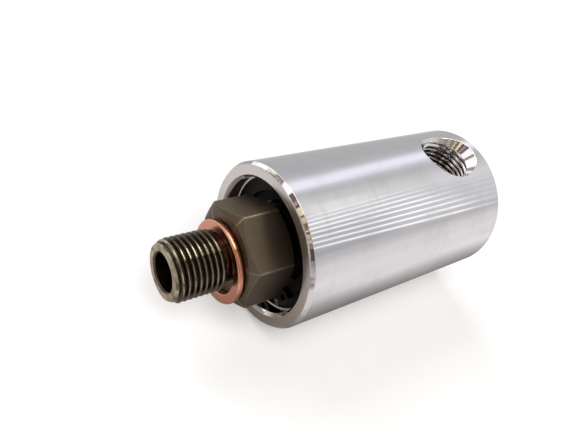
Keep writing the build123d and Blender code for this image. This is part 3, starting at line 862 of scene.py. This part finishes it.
# Before the housing: near and far shades mixed by the distance ahead, towards -x, and across, by y, the
# dark near shade a painted shadow of the part. Then the open floor, a pale side on the left, which is -y,
# and a light patch, a painted highlight for the hexagon's lower corner
floorFront = {
    "near": (0.20, 0.155, 0.11), "far": (0.76, 0.71, 0.67), "ahead": (40, 58), "aheadShare": 0.45,
    "across": (-7, 25), "acrossShare": 0.75, "open": (0.34, 0.31, 0.28), "openAhead": (64, 90),
    "side": (0.90, 0.86, 0.85), "sideShare": 0.85, "sideLeft": (13, 30), "sideAhead": (56, 76),
    "patch": (0.98, 0.93, 0.87), "patchAhead": (59, 66, 80, 150), "patchLeft": (12.5, 15.5, 26, 34),
    "blend": (-46, -34),
}


# The colour at each place, along straight lines between the rows (place, red, green, blue).
def levelTable(rows, place):
    rows = np.array(rows, float)
    return np.stack([np.interp(place, rows[:, 0], rows[:, 1 + k]) for k in range(3)], -1)


# Smooth step from 0 at low to 1 at high: t^2 (3 - 2t).
def smoothStep(value, low, high):
    t = np.clip((value - low) / (high - low), 0, 1)
    return t * t * (3 - 2 * t)


# Rises smoothly from 0 at a to 1 at b and falls back from c to d.
def window(value, a, b, c, d):
    return smoothStep(value, a, b) * (1 - smoothStep(value, c, d))


# A sheet of light that only mirrored rays see: a grid of points with a colour of glow at each.
def glowSheet(name, points, glow):
    mesh = bpy.data.meshes.new(name)
    mesh.from_pydata(points.reshape(-1, 3), [], gridQuads(points.shape[0], points.shape[1], 0).tolist())
    colour = np.concatenate((glow, np.ones(glow.shape[:2] + (1,))), -1)
    layer = mesh.attributes.new("glow", "FLOAT_COLOR", "POINT")
    layer.data.foreach_set("color", colour.reshape(-1).astype(np.float32))
    material, tree = newMaterial(name + "Glow")[:2]
    material.cycles.emission_sampling = "NONE"
    tree.nodes.clear()
    out = tree.nodes.new("ShaderNodeOutputMaterial")
    emission = tree.nodes.new("ShaderNodeEmission")
    tree.links.new(readLayer(tree, "glow", "Color"), emission.inputs["Color"])
    tree.links.new(emission.outputs["Emission"], out.inputs["Surface"])
    mesh.materials.append(material)
    card = newObject(name, mesh)
    card.visible_camera = False
    card.visible_diffuse = False
    card.visible_shadow = False
    card.visible_transmission = False


# The tent: points (x, r cos a, r sin a), from a little below the part on one side, over the top, to the
# same on the other side.
def buildTent(s, radius, reach):
    angle = np.linspace(*s["angles"])
    x = np.linspace(-reach, reach, s["columns"])
    across = (x / mm)[:, None, None]
    beside, behind, deep = (levelTable(tentLevels[name], angle) for name in ("beside", "behind", "deep"))
    # Within the band the far stretch's angles fall by lean for each millimetre towards the back
    inBand = window(angle, *s["band"])
    far = levelTable(tentLevels["far"], angle + inBand * ((x[:, None] / mm - s["leanFrom"]) * s["lean"]))
    inFar, inBeside = smoothStep(across, *s["far"]), smoothStep(across, *s["beside"])
    deepEnd = s["deepEnd"] + s["deepStep"] * (1 - smoothStep(angle, *s["deepTurn"]))[None, :, None]
    base = deep + (behind - deep) * smoothStep(across - deepEnd, -s["deepBlend"], s["deepBlend"])
    base = base + (beside - base) * inBeside
    base = base + (far - base) * inFar
    for fromX, toX, low, high, marginX, margin, share, shade in tentPatches:
        inX = window(across, fromX, fromX + marginX, toX - marginX, toX)
        inAngle = window(angle, low, low + margin, high - margin, high)
        base = base + (np.array(shade) - base) * share * inX * inAngle[:, None]
    bars = slatLevels(slats, x / mm, angle) * inFar[..., 0]
    upToEnd = 1 - smoothStep(across[..., 0], *s["dipEnd"])
    dip = 1 - s["dip"] * window(angle, *s["dipAngles"]) * upToEnd * inFar[..., 0]
    radians = np.radians(angle)
    points = np.stack(np.broadcast_arrays(x[:, None], radius * np.cos(radians), radius * np.sin(radians)), -1)
    glowSheet("light_tent", points, base * dip[..., None] + bars[..., None])


# Brightness of the slats at x and angle. The number k of the slat at an angle comes from
# angle = first + step k + growth k^2, after the fan has spread the angles round its centre. Each slat
# is the top of a cosine wave in k, ends at its own x and leaves a faint rest.
def slatLevels(s, x, angle):
    fan = 1 + s["fan"] * (np.clip(x, 0, s["fanEnd"])[:, None] - s["fanStart"])
    flatAngle = (angle - s["centre"]) / np.clip(fan, *s["fanLimits"]) + s["centre"]
    inside = s["step"] ** 2 + 4 * s["growth"] * (flatAngle - s["first"])
    k = (np.sqrt(np.clip(inside, 0, None)) - s["step"]) / (2 * s["growth"])
    foot = np.cos(np.pi * s["width"])
    wave = np.clip((np.cos(2 * np.pi * k) - foot) / (1 - foot), 0, 1)
    shown = (k > -0.5) & (k < s["count"] - 0.5)
    ending = np.clip((s["end"] + s["stagger"] * k - x[:, None]) / s["fade"], s["rest"], 1)
    riseStart, riseLength = s["rise"]
    rising = np.clip((k + riseStart) / riseLength, 0, 1)
    return s["gain"] * wave * shown * ending * rising


# Points of the floor card along x and y, in millimetres: fineCount between -close and close, and
# coarseCount from there out to wide on both sides
cardSteps = {
    "x": {"close": 200, "wide": 2200, "fineCount": 201, "coarseCount": 21},
    "y": {"close": 100, "wide": 400, "fineCount": 401, "coarseCount": 16},
}


def stepsAcross(close, wide, fineCount, coarseCount):
    coarse = np.linspace(close, wide, coarseCount)
    return np.concatenate((-coarse[:0:-1], np.linspace(-close, close, fineCount), coarse[1:]))


# A flat card just above the floor, which only mirrored rays see: points (x, y, height), with the levels
# beside and before the housing, painted shadow of the part among them.
def buildFloorCard(height):
    x, y = stepsAcross(**cardSteps["x"]), stepsAcross(**cardSteps["y"])
    b, f = floorBeside, floorFront
    narrower = b["narrower"] * smoothStep(x, *b["narrowX"])[:, None] * (1 - smoothStep(y, *b["narrowY"]))
    lift = smoothStep(x, *b["liftX"])[:, None] * (1 - smoothStep(np.abs(y), *b["liftY"]))
    level = b["level"] + (1 - b["level"]) * smoothStep(x, *b["levelX"])[:, None, None]
    beside = levelTable(floorLevels, y - narrower) * level + b["lift"] * lift[..., None]
    ahead, left = -x[:, None], -y
    near, far, openShade, side, patch = (
        np.array(f[name]) for name in ("near", "far", "open", "side", "patch"))
    away = f["aheadShare"] * smoothStep(ahead, *f["ahead"]) + f["acrossShare"] * smoothStep(y, *f["across"])
    inSide = f["sideShare"] * smoothStep(left, *f["sideLeft"]) * (1 - smoothStep(ahead, *f["sideAhead"]))
    inPatch = window(ahead, *f["patchAhead"]) * window(left, *f["patchLeft"])
    front = near + (far - near) * np.clip(away, 0, 1)[..., None]
    front = front + (openShade - front) * smoothStep(ahead, *f["openAhead"])[..., None]
    front = front + (side - front) * inSide[..., None]
    front = front + (patch - front) * inPatch[..., None]
    glow = front + (beside - front) * smoothStep(x, *f["blend"])[:, None, None]
    points = np.stack(np.broadcast_arrays(x[:, None] * mm, y * mm, height), -1)
    glowSheet("floor_card", points, glow)


# An end of the tent: a half disc of points (x, r cos a, r sin a).
def buildEnd(s, name, x, shade):
    angle, r = np.meshgrid(np.linspace(0, np.pi, s["endPoints"]), np.array(s["endRadii"]))
    points = np.stack((np.full_like(r, x), r * np.cos(angle), r * np.sin(angle)), -1)
    glowSheet(name, points, np.broadcast_to(np.array(shade), points.shape))


buildTent(tentShape, studio["tentRadius"], studio["tentReach"])
buildFloorCard(floorHeight + studio["cardLift"])
buildEnd(studio, "end_card", -studio["tentReach"], studio["frontEnd"])
buildEnd(studio, "back_card", studio["tentReach"], studio["rearEnd"])


# The matrix of an object at a place, from its own right, up and back directions.
def placing(right, up, back, place):
    turn = np.eye(4)
    turn[:3] = np.stack((right, up, back, place), 1)
    return Matrix(turn.tolist())


# Metres and watts
lamps = {
    "target": (-0.02, 0, 0),
    "keyLamp": {"place": (-0.25, -0.35, 0.75), "size": 0.7, "power": 6.5, "tint": (1, 0.99, 0.98)},
    "fillLamp": {"place": (-0.1, 0.6, 0.5), "size": 0.6, "power": 3.5, "tint": (0.98, 0.98, 1)},
}


# A square lamp at its place that looks at the target and isn't mirrored.
def softLamp(name, s, target):
    lamp = bpy.data.lights.new(name, "AREA")
    lamp.shape = "SQUARE"
    lamp.size = s["size"]
    lamp.energy = s["power"]
    lamp.color = s["tint"]
    back = np.array(s["place"]) - target
    back /= np.linalg.norm(back)
    side = np.cross((0, 0, 1), back)
    side /= np.linalg.norm(side)
    holder = newObject(name, lamp)
    holder.matrix_world = placing(side, np.cross(back, side), back, s["place"])
    holder.visible_glossy = False


for name in ("keyLamp", "fillLamp"):
    softLamp(name, lamps[name], lamps["target"])
print("studio: floor, world, tent and lamps")

# The camera: its place, lens and sensor in millimetres, its own right and forward directions, and the
# nearest and farthest that it sees, in metres
cameraView = {
    "place": (-82.47, -39.05, 63.69), "right": (0.7968, -0.5097, 0.3247),
    "forward": (0.5715, 0.4612, -0.6787), "lens": 33.77, "sensor": 36, "nearest": 0.002, "farthest": 50,
}


def placeCamera(s):
    data = bpy.data.cameras.new("camera")
    data.sensor_fit = "HORIZONTAL"
    data.sensor_width = s["sensor"]
    data.lens = s["lens"]
    data.clip_start = s["nearest"]
    data.clip_end = s["farthest"]
    camera = newObject("camera", data)
    forward = np.array(s["forward"]) / np.linalg.norm(s["forward"])
    right = np.array(s["right"]) - forward * (np.array(s["right"]) @ forward)
    right /= np.linalg.norm(right)
    camera.matrix_world = placing(right, np.cross(right, forward), -forward, np.array(s["place"]) * mm)
    bpy.context.scene.camera = camera


placeCamera(cameraView)
bpy.context.scene.view_settings.view_transform = "Standard"
